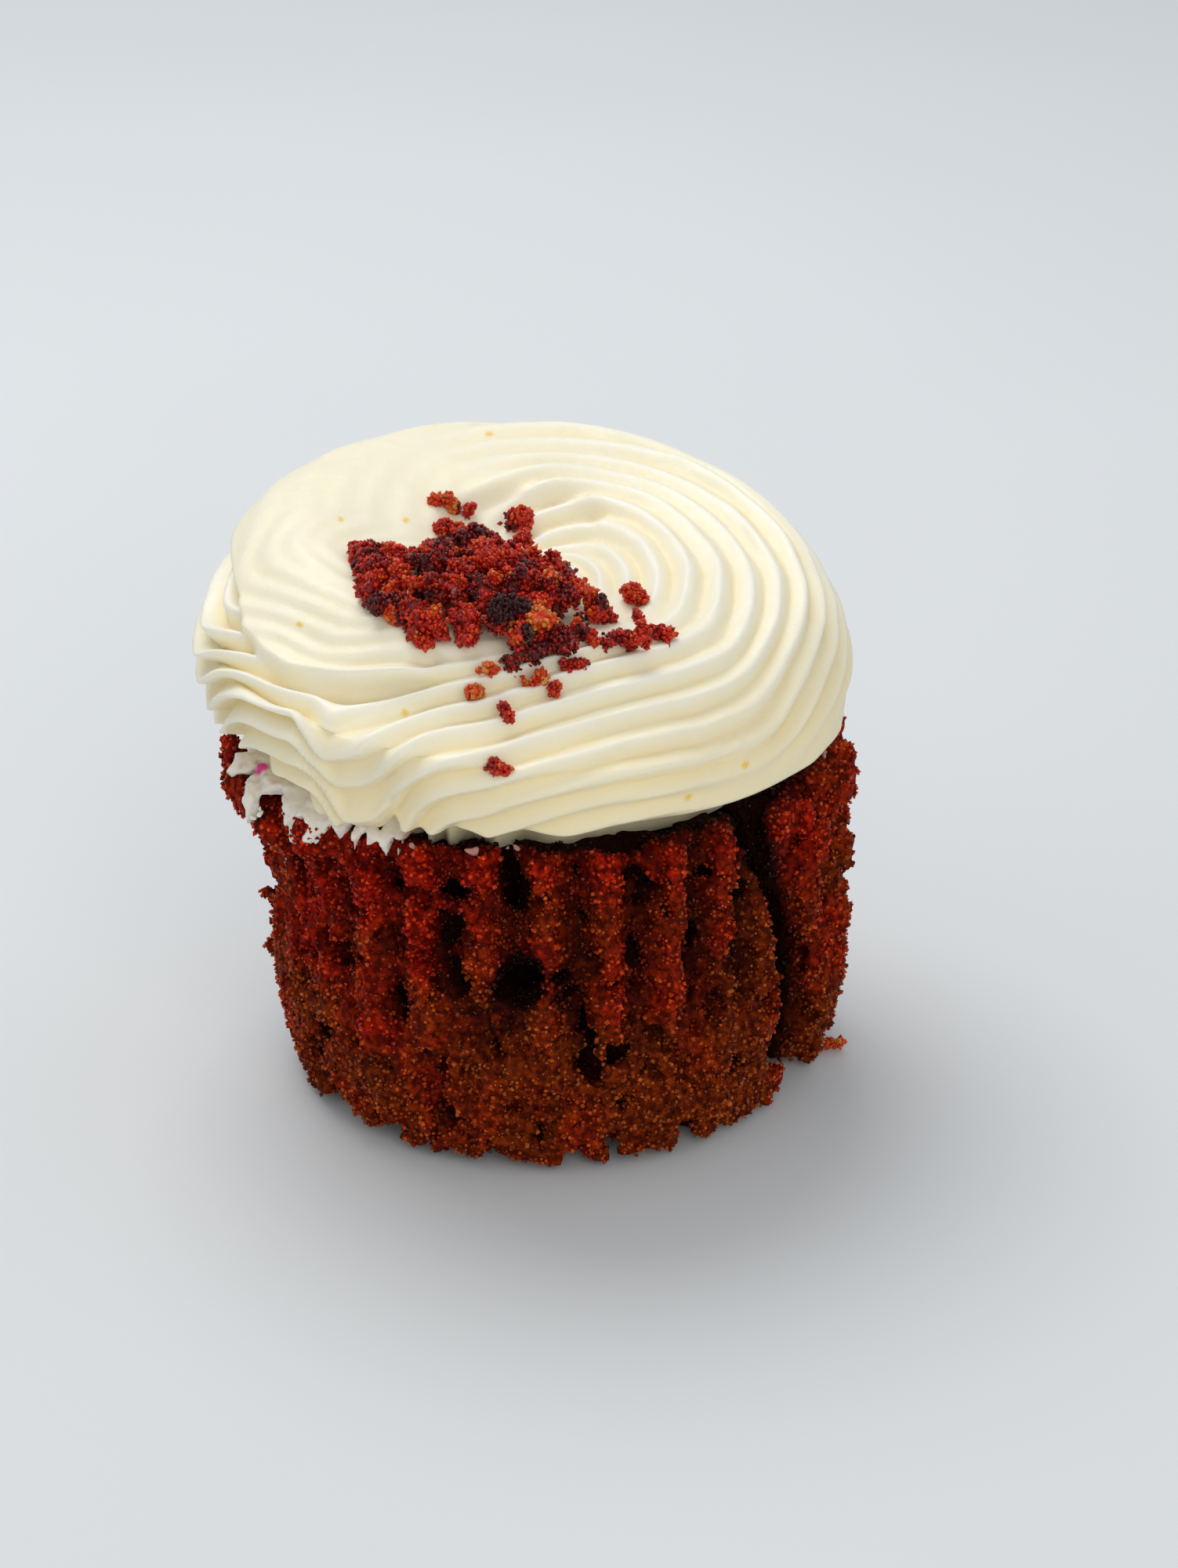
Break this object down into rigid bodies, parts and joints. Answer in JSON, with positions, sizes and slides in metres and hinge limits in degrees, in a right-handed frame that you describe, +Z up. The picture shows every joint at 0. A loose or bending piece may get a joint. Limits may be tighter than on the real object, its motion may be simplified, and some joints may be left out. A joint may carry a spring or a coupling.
{
  "type": "red velvet cupcake",
  "caption": "Fluted dark red sponge cupcake without a case, topped with a flat piped swirl of cream-coloured frosting and a small heap of red sponge crumbs",
  "frame": {"origin": "centre of the sponge's flat base, on the surface that the cupcake stands on", "axes": "+Z up; -Y towards the front, where the piped rope kinks and the crumb heap lies nearer; +X towards the cracked right side"},
  "size_m": [0.0642, 0.0649, 0.0597],
  "materials": {
    "sponge": "soft open red-brown sponge crumb, matte with small moist glints",
    "frosting": "smooth cream-coloured whipped frosting, satin, slightly translucent",
    "crumbs": "moist dark red cake crumbs, slightly glossy and translucent"
  },
  "bodies": {
    "root": {"cake": "sponge", "frosting": "frosting", "crumb_heap": "crumbs"}
  },
  "joints": []
}
